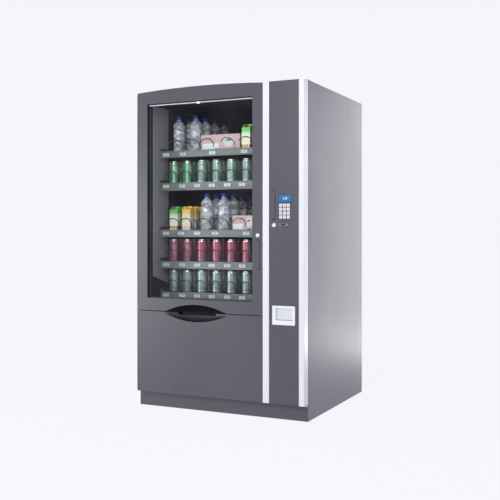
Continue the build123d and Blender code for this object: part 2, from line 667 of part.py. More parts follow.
save("outer_shell", outer_shell())
save("inner_liner", inner_liner())
save("back_panel", back_panel())
save("power_inlet", power_inlet())
save("base_frame", base_frame())
save("levelling_feet", *levelling_feet())
save("kick_plate", kick_plate())
save("duct_panel", duct_panel())
for level in range(5):
    save(f"tray_{level + 1}", tray(level))
    save(f"sold_out_spiral_{level + 1}", coil(EMPTY_LANE, level, True))
save("price_rails", *price_rails())
save("lane_spirals", *lane_spirals())
save("spiral_motors", *spiral_motors())
save("compressor", compressor())
save("condenser", *condenser())
save("condenser_fan", condenser_fan())
save("evaporator", evaporator())
save("coin_mechanism", coin_mechanism())
save("cash_box", cash_box())
save("door_hinges", *door_hinges())

save("door_frame", door_frame())
save("door_liner", door_liner())
save("door_glass", door_glass())
save("door_gasket", door_gasket())
save("light_tube", light_tube())
save("delivery_bin", delivery_bin())
save("delivery_flap", delivery_flap())
save("door_lock", lock_barrel(*DOOR_LOCK, 1))
save("door_handle", swing_handle(DOOR_HANDLE, False))

save("column_panel", column_panel())
save("centre_strip", channel(*CENTRE_STRIP, STRIP_FRONT))
save("corner_strip", corner_strip())
save("display", display())
save("keypad_frame", keypad_frame())
save("coin_plate", coin_plate())
save("coin_return_button", coin_return_button())
save("coin_cup", coin_cup())
save("coin_flap", coin_flap())
save("column_lock", lock_barrel(*COLUMN_LOCK, -1))
save("column_handle", swing_handle(COLUMN_HANDLE, True))
for index, name in enumerate(KEY_NAMES):
    row, column = divmod(index, 3)
    save(f"key_{name}", key(KEY_COLUMNS[column], KEY_ROWS[row]))
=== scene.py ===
import math

import bmesh
import bpy
from mathutils import Matrix, Vector


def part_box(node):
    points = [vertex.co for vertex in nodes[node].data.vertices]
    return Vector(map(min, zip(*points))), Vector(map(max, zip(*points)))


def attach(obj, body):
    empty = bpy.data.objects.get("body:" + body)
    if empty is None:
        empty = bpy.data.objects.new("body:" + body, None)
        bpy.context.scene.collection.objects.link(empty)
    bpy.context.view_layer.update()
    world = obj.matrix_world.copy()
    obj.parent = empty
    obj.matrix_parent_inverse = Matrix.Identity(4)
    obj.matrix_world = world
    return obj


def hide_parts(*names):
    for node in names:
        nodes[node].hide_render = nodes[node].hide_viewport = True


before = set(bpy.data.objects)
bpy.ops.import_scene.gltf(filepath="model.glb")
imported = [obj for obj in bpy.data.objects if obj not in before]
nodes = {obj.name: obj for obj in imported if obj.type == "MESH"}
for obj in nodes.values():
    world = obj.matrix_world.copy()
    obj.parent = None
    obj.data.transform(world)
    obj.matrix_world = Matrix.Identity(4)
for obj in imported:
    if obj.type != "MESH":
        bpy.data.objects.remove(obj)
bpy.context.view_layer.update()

scene = bpy.context.scene

# ---- camera and studio ----
# The viewer stands in front and to the right, and looks level from chest height.
# The machine stands among large soft lamps under a pale sky.
EYE = Vector((2.146, -4.5175, 1.0214))
HEADING = math.radians(25.63)
LENS = 59.15
SENSOR = 36.0
LENS_SHIFT = -0.0373
PALE_SKY = (0.92, 0.915, 0.96)
HIGH_SKY = (0.40, 0.41, 0.44)

camera_data = bpy.data.cameras.new("camera")
camera_data.lens = LENS
camera_data.sensor_width = SENSOR
camera_data.shift_y = LENS_SHIFT
camera = bpy.data.objects.new("camera", camera_data)
camera.location = EYE
camera.rotation_euler = (math.pi / 2, 0.0, HEADING)
scene.collection.objects.link(camera)
scene.camera = camera
scene.view_settings.view_transform = "Standard"

world = bpy.data.worlds.new("studio")
world.use_nodes = True
sky = world.node_tree
heading = sky.nodes.new("ShaderNodeTexCoord")
upward = sky.nodes.new("ShaderNodeSeparateXYZ")
climb = sky.nodes.new("ShaderNodeMapRange")
climb.inputs["From Min"].default_value = 0.25
climb.inputs["From Max"].default_value = 0.75
sky_tone = sky.nodes.new("ShaderNodeMix")
sky_tone.data_type = "RGBA"
sky_tone.inputs[6].default_value = (*PALE_SKY, 1.0)
sky_tone.inputs[7].default_value = (*HIGH_SKY, 1.0)
sky.links.new(heading.outputs["Generated"], upward.inputs[0])
sky.links.new(upward.outputs["Z"], climb.inputs["Value"])
sky.links.new(climb.outputs["Result"], sky_tone.inputs[0])
sky.links.new(sky_tone.outputs[2], sky.nodes["Background"].inputs["Color"])
scene.world = world


def soft_lamp(name, place, target, width, height, watts, fill=True):
    """A large studio lamp aimed at a point; without fill it only shows in glossy surfaces."""
    data = bpy.data.lights.new(name, "AREA")
    data.shape = "RECTANGLE"
    data.size = width
    data.size_y = height
    data.energy = watts
    lamp = bpy.data.objects.new(name, data)
    lamp.location = place
    lamp.rotation_euler = (Vector(target) - Vector(place)).to_track_quat("-Z", "Y").to_euler()
    lamp.visible_camera = False
    lamp.visible_diffuse = fill
    scene.collection.objects.link(lamp)


soft_lamp("rear_right_lamp", (1.05, 1.9, 1.15), (0.53, 0.3, 1.05), 0.5, 2.2, 17.5, fill=False)
soft_lamp("rear_low_lamp", (1.05, 1.9, 0.09), (0.53, 0.3, 0.2), 0.7, 0.16, 2.8, fill=False)
soft_lamp("left_lamp", (-4.2, -4.2, 0.8), (-0.4, -0.49, 0.7), 1.6, 1.6, 115.0)
soft_lamp("front_lamp", (0.6, -4.8, 2.6), (-0.1, -0.4, 1.1), 1.8, 1.2, 110.0)


# ---- ways to write a material ----
# Shader nodes are added as they are named, and values between them can be added,
# multiplied and compared like numbers.

class Wire:
    """A value on its way between shader nodes; arithmetic on wires adds Math nodes."""

    def __init__(self, finish, socket):
        self.finish = finish
        self.socket = socket

    def maths(self, operation, first, second):
        return self.finish.node("ShaderNodeMath", {"operation": operation}, {0: first, 1: second})

    def __add__(self, other):
        return self.maths("ADD", self, other)

    def __sub__(self, other):
        return self.maths("SUBTRACT", self, other)

    def __rsub__(self, other):
        return self.maths("SUBTRACT", other, self)

    def __mul__(self, other):
        return self.maths("MULTIPLY", self, other)

    def __gt__(self, other):
        return self.maths("GREATER_THAN", self, other)

    def __lt__(self, other):
        return self.maths("LESS_THAN", self, other)

    __radd__ = __add__
    __rmul__ = __mul__


class Finish:
    """A material being mixed: node() adds any node, surface() sets the shader."""

    def __init__(self, name):
        self.material = bpy.data.materials.new(name)
        self.material.use_nodes = True
        self.tree = self.material.node_tree
        self.shader = self.tree.nodes["Principled BSDF"]

    def node(self, kind, settings=None, sockets=None, output=0):
        node = self.tree.nodes.new(kind)
        for key, value in (settings or {}).items():
            setattr(node, key, value)
        for key, value in (sockets or {}).items():
            self.feed(node.inputs[key], value)
        return Wire(self, node.outputs[output])

    def feed(self, socket, value):
        if isinstance(value, Wire):
            self.tree.links.new(value.socket, socket)
        elif isinstance(value, tuple) and len(value) == 3 and socket.type == "RGBA":
            socket.default_value = (*value, 1.0)
        else:
            socket.default_value = value

    def place(self, stretch=(1.0, 1.0, 1.0)):
        """Position on the machine, in metres, stretched to draw out a pattern."""
        spot = self.node("ShaderNodeTexCoord", output="Object")
        return self.node("ShaderNodeMapping", None, {"Vector": spot, "Scale": stretch})

    def noise(self, scale, detail=2.0, stretch=(1.0, 1.0, 1.0)):
        return self.node("ShaderNodeTexNoise", None,
                         {"Vector": self.place(stretch), "Scale": scale, "Detail": detail})

    def blend(self, mask, low, high):
        """Colour low where the mask is 0, colour high where it is 1."""
        return self.node("ShaderNodeMix", {"data_type": "RGBA"}, {0: mask, 6: low, 7: high}, 2)

    def smooth(self, value, low, high):
        """0 below low, 1 above high, a straight slope between."""
        return self.node("ShaderNodeMapRange", None, {0: value, 1: low, 2: high, 3: 0.0, 4: 1.0})

    def bump(self, height, strength, distance=0.001):
        return self.node("ShaderNodeBump", None,
                         {"Strength": strength, "Distance": distance, "Height": height})

    def surface(self, **sockets):
        names = {"base": "Base Color", "glow": "Emission Color", "glow_power": "Emission Strength",
                 "specular": "Specular IOR Level", "coat": "Coat Weight", "ior": "IOR"}
        for key, value in sockets.items():
            self.feed(self.shader.inputs[names.get(key, key.capitalize())], value)
        return self.material


def dress(material, *names):
    """Gives CAD nodes their material."""
    for name in names:
        nodes[name].data.materials.clear()
        nodes[name].data.materials.append(material)


# ---- painted panels ----
# Folded sheet steel under powder coat: anthracite on the doors, the plinth and the cabinet. On the
# cabinet's sides and back the same paint is drawn a lighter, bluer grey as painted light, and the
# delivery flap a little lighter, also painted light. The coat has a fine orange peel, slow drifts of
# tone and floor scuffs; painted shade darkens the door pull's recess.

FRONT_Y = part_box("column_panel")[0].y
PULL_X = (-0.345, 0.090)
PULL_Z = (0.50, 0.62)
PAINTED_PULL_SHADE = (0.006, 0.006, 0.008)
SCUFF_TOP = 0.22


def powder_coat(name, colour, light, roughness, pull_shade_strength=0.0):
    """Powder coat: colour drifts towards light, scuffs gather low down; pull_shade_strength paints shade
    into the door pull's recess.
    """
    coat = Finish(name)
    drift = coat.noise(1.6, 3.0)
    tint = coat.blend(coat.smooth(drift, 0.35, 0.7), colour, light)
    height = coat.node("ShaderNodeSeparateXYZ", None, {0: coat.place()}, 2)
    rubbed = coat.smooth(coat.noise(60.0, 5.0, (1.0, 1.0, 0.35)), 0.58, 0.75)
    scuff = rubbed * (1.0 - coat.smooth(height, 0.0, SCUFF_TOP))
    worn_and_shaded = coat.blend(scuff * 0.35, tint, tuple(min(1.0, 2.2 * c + 0.02) for c in colour))
    if pull_shade_strength:
        across = coat.node("ShaderNodeSeparateXYZ", None, {0: coat.place()}, 0)
        depth = coat.node("ShaderNodeSeparateXYZ", None, {0: coat.place()}, 1)
        near_pull = (across > PULL_X[0]) * (across < PULL_X[1])
        near_pull = near_pull * (height > PULL_Z[0]) * (height < PULL_Z[1])
        # Painted shade: deeper into the door pull's recess the coat turns near-black and metallic.
        painted_pull_shade = coat.smooth(depth, FRONT_Y + 0.0004, FRONT_Y + 0.008) * near_pull * pull_shade_strength
        worn_and_shaded = coat.blend(painted_pull_shade, worn_and_shaded, PAINTED_PULL_SHADE)
        coat.surface(metallic=painted_pull_shade * 0.9)
    smear = coat.noise(7.0, 4.0, (1.0, 1.0, 0.3))
    peel = coat.noise(900.0, 2.0)
    return coat.surface(base=worn_and_shaded, roughness=roughness + smear * 0.08 + scuff * 0.1,
                        normal=coat.bump(peel, 0.10, 0.0004))


ANTHRACITE = ((0.043, 0.046, 0.060), (0.052, 0.053, 0.068))
front_paint = powder_coat("front_paint", *ANTHRACITE, 0.33)
# Cabinet sides and back: the front's anthracite drawn lighter and bluer, as painted light falling from
# behind.
side_paint = powder_coat("side_paint", (0.108, 0.101, 0.136), (0.122, 0.115, 0.152), 0.42)
door_paint = powder_coat("door_paint", *ANTHRACITE, 0.33, 1.0)
# Delivery flap: the door's anthracite drawn a little lighter, as painted light, with a weaker painted
# shade in its half of the pull's recess.
flap_paint_lit = powder_coat("flap_paint_lit", (0.045, 0.048, 0.061), (0.056, 0.057, 0.071), 0.33, 0.7)
dress(front_paint, "column_panel", "kick_plate", "keypad_frame", "door_handle", "column_handle")
dress(door_paint, "door_frame")
dress(flap_paint_lit, "delivery_flap")
dress(side_paint, "outer_shell", "back_panel")

# ---- bright strips ----
# Two folded strips, lacquered silver-white, that cover the joints beside the payment
# column. The lacquer has a fine upright grain and a faint cloud in its tone.
strip = Finish("bright_strip")
grain = strip.noise(240.0, 3.0, (1.0, 1.0, 0.02))
cloud = strip.noise(2.4, 2.0)
lacquer = strip.blend(cloud, (0.56, 0.555, 0.62), (0.61, 0.605, 0.68))
bright_strip = strip.surface(base=lacquer, metallic=0.15, roughness=0.30 + grain * 0.08,
                             normal=strip.bump(grain, 0.05, 0.0003))
dress(bright_strip, "centre_strip", "corner_strip")

# ---- machinery and inner metalwork ----
# Zinc-plated feet, hinges and cash box, black-enamelled frame and compressor, mill-finish
# fins, grey trays and dark spiral wire. Only the barrels of the locks are polished.

def metal(name, colour, roughness, plated=1.0, mottling=0.25):
    """Bare or plated metal with a mottled tone and short rolling marks."""
    stock = Finish(name)
    mottle = stock.noise(35.0, 4.0)
    marks = stock.noise(300.0, 2.0, (1.0, 0.05, 1.0))
    dark = tuple(c * (1.0 - mottling) for c in colour)
    return stock.surface(base=stock.blend(mottle, dark, colour), metallic=plated,
                         roughness=roughness + marks * 0.12, normal=stock.bump(marks, 0.06, 0.0003))


zinc = metal("zinc_plate", (0.62, 0.64, 0.66), 0.32)
dress(zinc, "levelling_feet", "cash_box", "door_hinges")
dress(metal("mill_aluminium", (0.72, 0.73, 0.75), 0.30), "condenser", "evaporator")
dress(metal("black_enamel", (0.028, 0.028, 0.030), 0.38, 0.0), "base_frame", "compressor")
dress(metal("tray_grey", (0.085, 0.090, 0.095), 0.42, 0.0), *[f"tray_{i}" for i in range(1, 6)])
spiral_wire = metal("spiral_wire", (0.055, 0.058, 0.062), 0.34, 0.6)
dress(spiral_wire, "lane_spirals", *[f"sold_out_spiral_{i}" for i in range(1, 6)])
chrome = metal("polished_chrome", (0.88, 0.89, 0.91), 0.10, 1.0, 0.06)
dress(chrome, "door_lock", "column_lock")
dress(metal("satin_plate", (0.16, 0.16, 0.175), 0.34, 0.8), "coin_plate")
dress(metal("satin_button", (0.34, 0.34, 0.36), 0.28, 0.9), "coin_return_button")

# ---- moulded plastics and rubber ----
# Injection-moulded parts with a spark-eroded texture, and the extruded door seal. The air
# duct cover has a painted highlight along its front edge.

def moulding(name, colour, roughness, texture=0.18, gloss=0.0):
    """Moulded plastic: fine eroded grain, faint flow clouds."""
    plastic = Finish(name)
    flow = plastic.noise(9.0, 3.0)
    erosion = plastic.noise(1400.0, 2.0)
    pale = tuple(min(1.0, c * 1.18 + 0.004) for c in colour)
    return plastic.surface(base=plastic.blend(flow, colour, pale), coat=gloss,
                           roughness=roughness + erosion * 0.1,
                           normal=plastic.bump(erosion, texture, 0.0003))


black_plastic = moulding("black_plastic", (0.020, 0.020, 0.022), 0.42)
dress(black_plastic, "power_inlet", "condenser_fan", "spiral_motors", "coin_mechanism")
dress(black_plastic, "delivery_bin", "display")
dress(moulding("liner_dark", (0.027, 0.024, 0.037), 0.46), "inner_liner")
duct = Finish("duct_grey")
duct_depth = duct.node("ShaderNodeSeparateXYZ", None, {0: duct.place()}, 1)
duct_tone = duct.blend(duct.noise(6.0), (0.33, 0.322, 0.345), (0.36, 0.352, 0.375))
duct_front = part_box("duct_panel")[0].y
# Painted highlight: the front 10 mm of the duct cover is drawn pale.
painted_edge_highlight = duct.smooth(duct_depth, duct_front + 0.010, duct_front)
duct_grain = duct.noise(1400.0)
duct_grey = duct.surface(base=duct.blend(painted_edge_highlight, duct_tone, (0.52, 0.52, 0.54)),
                         roughness=0.45 + duct_grain * 0.1, normal=duct.bump(duct_grain, 0.15, 0.0003))
dress(duct_grey, "duct_panel")
dress(moulding("door_liner_grey", (0.16, 0.165, 0.175), 0.48), "door_liner")
dress(moulding("seal_rubber", (0.018, 0.018, 0.018), 0.62, 0.3), "door_gasket")
dress(moulding("silver_plastic", (0.56, 0.56, 0.60), 0.28, 0.08, 0.3), "coin_cup")
dress(moulding("flap_silver", (0.46, 0.47, 0.50), 0.34, 0.1, 0.2), "coin_flap")
key_plastic = moulding("key_silver", (0.52, 0.51, 0.58), 0.30, 0.06, 0.4)
KEY_NAMES = ("1", "2", "3", "4", "5", "6", "7", "8", "9", "clear", "0", "enter")
dress(key_plastic, *[f"key_{name}" for name in KEY_NAMES])

# ---- window glass and lamp ----
# Clear double glazing behind the door's front skin, with a black printed border that hides
# the seal, and a thin opal lamp across its top held by a small white clip.
glass = Finish("window_glass")
clear = glass.node("ShaderNodeBsdfTransparent", None, {"Color": (0.93, 0.95, 0.95)})
mirror = glass.node("ShaderNodeBsdfGlossy", None, {"Color": (0.90, 0.92, 0.95), "Roughness": 0.03})
haze = glass.smooth(glass.noise(5.0, 4.0), 0.3, 0.8)
film = glass.node("ShaderNodeBsdfDiffuse", None, {"Color": (0.78, 0.74, 0.92)})
filmed = glass.node("ShaderNodeMixShader", None, {0: haze * 0.008 + 0.002, 1: clear, 2: film})
mixed = glass.node("ShaderNodeMixShader", None, {0: 0.002 + haze * 0.002, 1: filmed, 2: mirror})
glass.feed(glass.tree.nodes["Material Output"].inputs["Surface"], mixed)
dress(glass.material, "door_glass")

lamp = Finish("opal_lamp")
tube_low, tube_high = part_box("light_tube")
tube_height = lamp.node("ShaderNodeSeparateXYZ", None, {0: lamp.place()}, 2)
lit_edge = tube_high.z - 0.0085
crest = lamp.smooth(tube_height, lit_edge, lit_edge + 0.002)
opal = lamp.blend(lamp.noise(40.0), (0.66, 0.69, 0.74), (0.78, 0.80, 0.84))
opal_lamp = lamp.surface(base=lamp.blend(crest, (0.03, 0.03, 0.035), opal), roughness=0.4,
                         glow=lamp.blend(crest, (0.0, 0.0, 0.0), opal), glow_power=0.5)
dress(opal_lamp, "light_tube")


def mesh_piece(name, body, bm, materials, ride=True):
    """Turns a bmesh into a piece that rides on a body."""
    bmesh.ops.recalc_face_normals(bm, faces=bm.faces)
    mesh = bpy.data.meshes.new(name)
    bm.to_mesh(mesh)
    bm.free()
    for material in materials:
        mesh.materials.append(material)
    piece = bpy.data.objects.new(name, mesh)
    scene.collection.objects.link(piece)
    if ride:
        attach(piece, body)
    return piece


def add_block(bm, low, high, bevel=0.0, material=0):
    """Adds a box between two corners, its edges rounded."""
    size = Vector(high) - Vector(low)
    middle = (Vector(high) + Vector(low)) / 2
    place = Matrix.Translation(middle) @ Matrix.Diagonal((*size, 1.0))
    made = bmesh.ops.create_cube(bm, size=1.0, matrix=place)
    faces = {face for vert in made["verts"] for face in vert.link_faces}
    for face in faces:
        face.material_index = material
    if bevel:
        edges = list({edge for face in faces for edge in face.edges})
        bmesh.ops.bevel(bm, geom=edges, offset=bevel, segments=2, affect="EDGES", profile=0.7,
                        clamp_overlap=True)


def ring_blocks(bm, outer_low, outer_high, inner_low, inner_high, y0, y1):
    """Four strips round an opening, seen from the front: left, right, foot and head."""
    left, foot = outer_low
    right, head = outer_high
    inner_left, inner_foot = inner_low
    inner_right, inner_head = inner_high
    add_block(bm, (left, y0, foot), (inner_left, y1, head))
    add_block(bm, (inner_right, y0, foot), (right, y1, head))
    add_block(bm, (inner_left, y0, foot), (inner_right, y1, inner_foot))
    add_block(bm, (inner_left, y0, inner_head), (inner_right, y1, head))


pane_low, pane_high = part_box("door_glass")
BORDER = 0.012
PRINT = 0.0006
RIM = 0.001
border = bmesh.new()
ring_blocks(border, (pane_low.x + RIM, pane_low.z + RIM), (pane_high.x - RIM, pane_high.z - RIM),
            (pane_low.x + BORDER, pane_low.z + BORDER), (pane_high.x - BORDER, pane_high.z - BORDER),
            pane_high.y + 0.0001, pane_high.y + PRINT)
glass_print = moulding("glass_print", (0.008, 0.008, 0.009), 0.3)
mesh_piece("glass_border", "glass_door", border, [glass_print])

clip = bmesh.new()
clip_x = (tube_low.x + tube_high.x) / 2 - 0.012
CLIP_HALF = 0.009
add_block(clip, (clip_x - CLIP_HALF, tube_low.y - 0.003, tube_low.z + 0.002),
          (clip_x + CLIP_HALF, tube_low.y + 0.010, tube_high.z + 0.004), 0.001)
clip_painted_glow = Finish("clip_painted_glow")
clip_flow = clip_painted_glow.noise(120.0)
clip_tone = clip_painted_glow.blend(clip_flow, (0.82, 0.82, 0.85), (0.88, 0.88, 0.90))
# The clip is white plastic, and its glow is painted light.
clip_painted_glow.surface(base=clip_tone, glow=clip_tone, glow_power=0.6, roughness=0.35 + clip_flow * 0.1)
mesh_piece("lamp_clip", "glass_door", clip, [clip_painted_glow.material])

# ---- repeated shapes ----
# One node group stands a copy of a shape on every point of a mesh: cans, bottles, labels and
# screws are all set out with it. Each copy has its own shade and a small chance turn.

def scatter_group():
    """The node group: points and a shape go in, shaded and turned copies come out."""
    tree = bpy.data.node_groups.new("set_out", "GeometryNodeTree")
    face = tree.interface
    face.new_socket("Points", in_out="INPUT", socket_type="NodeSocketGeometry")
    for name, kind in (("Shape", "NodeSocketObject"), ("Turn", "NodeSocketVector"),
                       ("Seed", "NodeSocketInt"), ("Finish", "NodeSocketMaterial")):
        face.new_socket(name, in_out="INPUT", socket_type=kind)
    face.new_socket("Copies", in_out="OUTPUT", socket_type="NodeSocketGeometry")
    add = tree.nodes.new
    link = tree.links.new
    given = add("NodeGroupInput")
    result = add("NodeGroupOutput")
    shape = add("GeometryNodeObjectInfo")
    stand = add("GeometryNodeInstanceOnPoints")
    turn = add("FunctionNodeRandomValue")
    shade = add("FunctionNodeRandomValue")
    turn.data_type = "FLOAT_VECTOR"
    back = add("ShaderNodeVectorMath")
    back.operation = "SCALE"
    back.inputs["Scale"].default_value = -1.0
    store = add("GeometryNodeStoreNamedAttribute")
    real = add("GeometryNodeRealizeInstances")
    finish = add("GeometryNodeSetMaterial")
    store.domain = "INSTANCE"
    store.inputs["Name"].default_value = "shade"
    link(given.outputs["Shape"], shape.inputs["Object"])
    link(given.outputs["Points"], stand.inputs["Points"])
    link(shape.outputs["Geometry"], stand.inputs["Instance"])
    link(given.outputs["Turn"], back.inputs[0])
    link(back.outputs["Vector"], turn.inputs["Min"])
    link(given.outputs["Turn"], turn.inputs["Max"])
    link(given.outputs["Seed"], turn.inputs["Seed"])
    link(given.outputs["Seed"], shade.inputs["Seed"])
    link(turn.outputs["Value"], stand.inputs["Rotation"])
    link(stand.outputs["Instances"], store.inputs["Geometry"])
    link(next(s for s in shade.outputs if s.enabled and s.type == "VALUE"), store.inputs["Value"])
    link(store.outputs["Geometry"], real.inputs["Geometry"])
    link(real.outputs["Geometry"], finish.inputs["Geometry"])
    link(given.outputs["Finish"], finish.inputs["Material"])
    link(finish.outputs["Geometry"], result.inputs["Copies"])
    return tree


SET_OUT = scatter_group()
INPUTS = {item.name: item.identifier for item in SET_OUT.interface.items_tree if item.in_out == "INPUT"}


def set_out(name, body, shape, points, material, turn=(0.0, 0.0, 0.0), seed=1):
    """A piece made of copies of a shape at the points, which are in metres on the machine."""
    mesh = bpy.data.meshes.new(name + "_points")
    mesh.from_pydata([tuple(p) for p in points], [], [])
    holder = bpy.data.objects.new(name + "_points", mesh)
    scene.collection.objects.link(holder)
    modifier = holder.modifiers.new("set_out", "NODES")
    modifier.node_group = SET_OUT
    for key, value in (("Shape", shape), ("Turn", turn), ("Seed", seed), ("Finish", material)):
        modifier[INPUTS[key]] = value
    bpy.context.view_layer.update()
    ready = holder.evaluated_get(bpy.context.evaluated_depsgraph_get())
    copies = bpy.data.meshes.new_from_object(ready)
    holder.modifiers.clear()
    bpy.data.objects.remove(holder)
    piece = bpy.data.objects.new(name, copies)
    scene.collection.objects.link(piece)
    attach(piece, body)
    return piece


def turned(name, outline, steps):
    """A shape on a lathe: outline points are (radius, height) in metres, with a UV map round and up."""
    bm = bmesh.new()
    uv = bm.loops.layers.uv.new("wrap")
    rings = []
    for radius, height in outline:
        if radius == 0:
            rings.append([bm.verts.new((0.0, 0.0, height))] * steps)
            continue
        angles = [math.tau * i / steps for i in range(steps)]
        rings.append([bm.verts.new((radius * math.cos(a), radius * math.sin(a), height)) for a in angles])
    top = max(h for _, h in outline)
    for lower, upper in zip(rings, rings[1:]):
        for i in range(steps):
            j = (i + 1) % steps
            corners = list(dict.fromkeys((lower[i], lower[j], upper[j], upper[i])))
            if len(corners) < 3:
                continue
            face = bm.faces.new(corners)
            face.smooth = True
            for loop in face.loops:
                around = i if loop.vert in (lower[i], upper[i]) else i + 1
                loop[uv].uv = (around / steps, loop.vert.co.z / top)
    mesh = bpy.data.meshes.new(name)
    bm.to_mesh(mesh)
    bm.free()
    return bpy.data.objects.new(name, mesh)


# ---- price labels ----
# White cards slid into the groove of each clear rail. The first digit on a card is its
# tray and the second is its place along the rail.
rail = Finish("clear_rail")
streak = rail.noise(3.0, 3.0, (1.0, 1.0, 8.0))
rail_tone = rail.blend(streak, (0.14, 0.155, 0.152), (0.20, 0.222, 0.216))
clear_rail = rail.surface(base=rail_tone, roughness=0.22 + streak * 0.1, coat=0.4,
                          normal=rail.bump(streak, 0.05))
dress(clear_rail, "price_rails")
TRAY_SHEET = 0.002
decks = [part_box(f"tray_{i}")[0].z + TRAY_SHEET for i in range(1, 6)]
rail_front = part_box("price_rails")[0].y
LABELS = ((-0.423, -0.307, -0.112, 0.094), (-0.423, -0.313, -0.212, -0.115, -0.014, 0.081),
          (-0.423, -0.320, -0.212, -0.093, 0.106), (-0.423, -0.313, -0.212, -0.115, -0.014, 0.081),
          (-0.423, -0.313, -0.212, -0.115, -0.014, 0.081))
CARD = Vector((0.040, 0.0008, 0.018))
CARD_DROP = 0.012

card_shape = bmesh.new()
add_block(card_shape, -CARD / 2, CARD / 2)
card = mesh_piece("card", None, card_shape, [], ride=False)
card_print = Finish("label_card")
fade = card_print.node("ShaderNodeAttribute", {"attribute_name": "shade"}, None, "Fac")
fibre = card_print.noise(500.0, 2.0)
card_material = card_print.surface(base=card_print.blend(fade, (0.50, 0.51, 0.51), (0.66, 0.67, 0.67)),
                                   roughness=0.5 + fibre * 0.1,
                                   normal=card_print.bump(fibre, 0.1, 0.0002))
card_spots = [Vector((x, rail_front + CARD.y, deck - CARD_DROP))
              for deck, row in zip(decks, LABELS) for x in row]
set_out("price_cards", "cabinet", card, card_spots, card_material, seed=4)
bpy.data.objects.remove(card)


def numerals(name, body, entries, size, depth, material):
    """Raised figures facing the front: entries are (text, centre)."""
    bm = bmesh.new()
    stand_up = Matrix.Rotation(math.pi / 2, 4, "X")
    for text, centre in entries:
        curve = bpy.data.curves.new("figure", "FONT")
        curve.body = text
        curve.size = size
        curve.extrude = depth
        curve.resolution_u = 2
        curve.align_x = "CENTER"
        curve.align_y = "CENTER"
        figure = bpy.data.objects.new("figure", curve)
        scene.collection.objects.link(figure)
        bpy.context.view_layer.update()
        mesh = bpy.data.meshes.new_from_object(figure.evaluated_get(bpy.context.evaluated_depsgraph_get()))
        mesh.transform(Matrix.Translation(centre) @ stand_up)
        bm.from_mesh(mesh)
        bpy.data.objects.remove(figure)
    bmesh.ops.remove_doubles(bm, verts=bm.verts, dist=1e-6)
    return mesh_piece(name, body, bm, [material])


ink = moulding("printed_ink", (0.03, 0.03, 0.035), 0.5, 0.05)
card_numbers = [(str(10 * (row + 1) + place), Vector((x, rail_front + 0.0003, deck - CARD_DROP)))
                for row, deck in enumerate(decks) for place, x in enumerate(LABELS[row])]
numerals("card_numbers", "cabinet", card_numbers, 0.013, 0.0001, ink)

# ---- spirals ----
# Drawn steel wire wound into a screw, one to a lane; its turns push the products forward.
# Seven turns hold cans, cartons and boxes, and four turns hold the bottles.
CAN_LANES = (-0.400, -0.308, -0.209, -0.109, -0.012, 0.086)
CAN_PITCH = 0.068
BOTTLE_PITCH = 0.119
COIL_START = rail_front + 0.012
COIL_LENGTH = 0.476
COIL_R = 0.036
WIRE_R = 0.0025
WIRE_GAP = 0.002
COIL_TIP = math.radians(75.0)
TOP_CROSSING = COIL_TIP / math.tau
CAN_ROW = [(x, CAN_PITCH) for x in CAN_LANES]
TOP_ROW = [(-0.381, BOTTLE_PITCH), (-0.266, BOTTLE_PITCH), (-0.162, CAN_PITCH), (-0.027, CAN_PITCH),
           (0.088, CAN_PITCH)]
MIXED_ROW = [(-0.394, CAN_PITCH), (-0.308, CAN_PITCH), (-0.191, BOTTLE_PITCH), (-0.077, BOTTLE_PITCH),
             (0.048, CAN_PITCH)]
SPIRALS = (TOP_ROW, CAN_ROW, MIXED_ROW, CAN_ROW, CAN_ROW)


def lane_wires():
    """One wire to a lane: round rings set along a screw line, joined into a closed tube."""
    bm = bmesh.new()
    sides = 8
    steps = 22
    turns = {CAN_PITCH: 7, BOTTLE_PITCH: 4}
    round_wire = [math.tau * k / sides for k in range(sides)]
    for row, lanes in enumerate(SPIRALS):
        for x, pitch in lanes:
            axis = Vector((x, COIL_START, decks[row] + COIL_R + WIRE_R + WIRE_GAP))
            rings = []
            for step in range(turns[pitch] * steps + 1):
                angle = math.tau * step / steps - COIL_TIP
                out = Vector((math.sin(angle), 0.0, math.cos(angle)))
                along = Vector((math.cos(angle) * COIL_R, pitch / math.tau, -math.sin(angle) * COIL_R))
                middle = axis + out * COIL_R + Vector((0.0, pitch * step / steps, 0.0))
                side = along.normalized().cross(out)
                rings.append([bm.verts.new(middle + (out * math.cos(a) + side * math.sin(a)) * WIRE_R)
                              for a in round_wire])
            for one, two in zip(rings, rings[1:]):
                for k in range(sides):
                    face = bm.faces.new((one[k], one[(k + 1) % sides], two[(k + 1) % sides], two[k]))
                    face.smooth = True
            bm.faces.new(rings[0][::-1])
            bm.faces.new(rings[-1])
    return bm


wires = mesh_piece("lane_wires", "cabinet", lane_wires(), [spiral_wire])
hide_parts("lane_spirals")

# ---- cans ----
# Aluminium cans, drawn and necked, with a stay-on lid. Two trays hold green ones and one
# holds dark red ones; each stands between two turns of its spiral.
CAN_R = 0.0313
LID_R = 0.0280
CAN_STEPS = 28
SLEEVE_FOOT = 0.009
SLEEVE_TOP = 0.122
UNDER_SLEEVE = CAN_R - 0.0004
FRESH_LANES = -0.26

sleeve_outline = [(CAN_R, SLEEVE_FOOT), (CAN_R, 0.045), (CAN_R, 0.085), (CAN_R, SLEEVE_TOP)]
foot_outline = [(0, 0.006), (0.019, 0.004), (0.0235, 0.0005), (0.0255, 0.0), (0.0275, 0.0015),
                (CAN_R, SLEEVE_FOOT)]
wall_outline = [(UNDER_SLEEVE, SLEEVE_FOOT + 0.001), (UNDER_SLEEVE, SLEEVE_TOP - 0.001)]
neck_outline = [(CAN_R, SLEEVE_TOP), (0.0304, 0.1252), (0.0286, 0.1285), (LID_R - 0.0008, 0.1305)]
lid_outline = [(LID_R, 0.1315), (LID_R, 0.1335), (LID_R - 0.0008, 0.134), (LID_R - 0.0018, 0.1335),
               (LID_R - 0.0022, 0.131), (LID_R - 0.0045, 0.1308), (0, 0.1312)]
can_sleeve = turned("can_sleeve", sleeve_outline, CAN_STEPS)
can_ends = turned("can_ends", foot_outline + wall_outline + neck_outline + lid_outline, CAN_STEPS)


